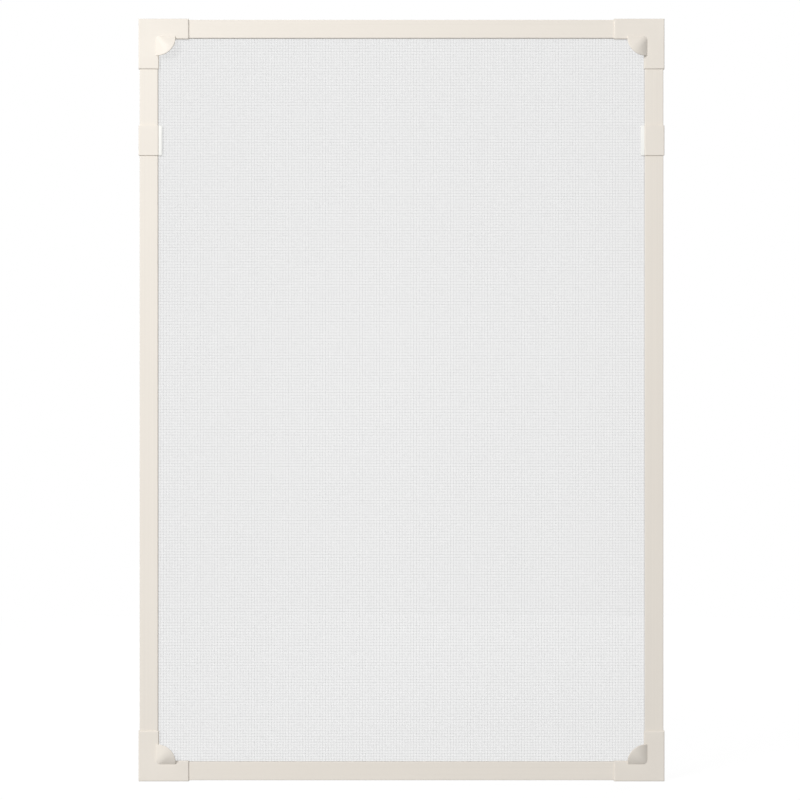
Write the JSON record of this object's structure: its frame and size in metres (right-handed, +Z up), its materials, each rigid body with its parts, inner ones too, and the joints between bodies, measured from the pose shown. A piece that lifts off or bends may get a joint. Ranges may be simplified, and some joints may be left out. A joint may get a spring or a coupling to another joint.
{
  "type": "magnetic insect screen",
  "caption": "Upright rectangular window insect screen: slim plastic bars with magnet strips behind, corner caps with finger hoods, joint sleeves, and a fine woven mesh clamped inside.",
  "frame": {"origin": "centre of the rear face of the bottom magnet strip, the face that meets the window frame", "axes": "+X to the right as seen from the front, +Y to the rear, out of the magnet faces, +Z up"},
  "size_m": [0.7, 0.018, 1.015],
  "materials": {
    "cream_plastic": "satin moulded",
    "white_plastic": "satin moulded",
    "magnet_rubber": "matt calendered",
    "mesh_yarn": "coated woven yarn"
  },
  "bodies": {
    "root": {"top_bar": "cream_plastic", "bottom_bar": "cream_plastic", "left_lower_bar": "cream_plastic", "left_upper_bar": "cream_plastic", "right_lower_bar": "cream_plastic", "right_upper_bar": "cream_plastic", "top_left_cap": "cream_plastic", "top_right_cap": "cream_plastic", "bottom_left_cap": "cream_plastic", "bottom_right_cap": "cream_plastic", "left_sleeve": "cream_plastic", "right_sleeve": "cream_plastic", "top_bead": "cream_plastic", "bottom_bead": "cream_plastic", "left_bead": "cream_plastic", "right_bead": "cream_plastic", "left_key": "white_plastic", "right_key": "white_plastic", "top_magnet": "magnet_rubber", "bottom_magnet": "magnet_rubber", "left_lower_magnet": "magnet_rubber", "left_upper_magnet": "magnet_rubber", "right_lower_magnet": "magnet_rubber", "right_upper_magnet": "magnet_rubber", "insect_mesh": "mesh_yarn"}
  },
  "joints": []
}
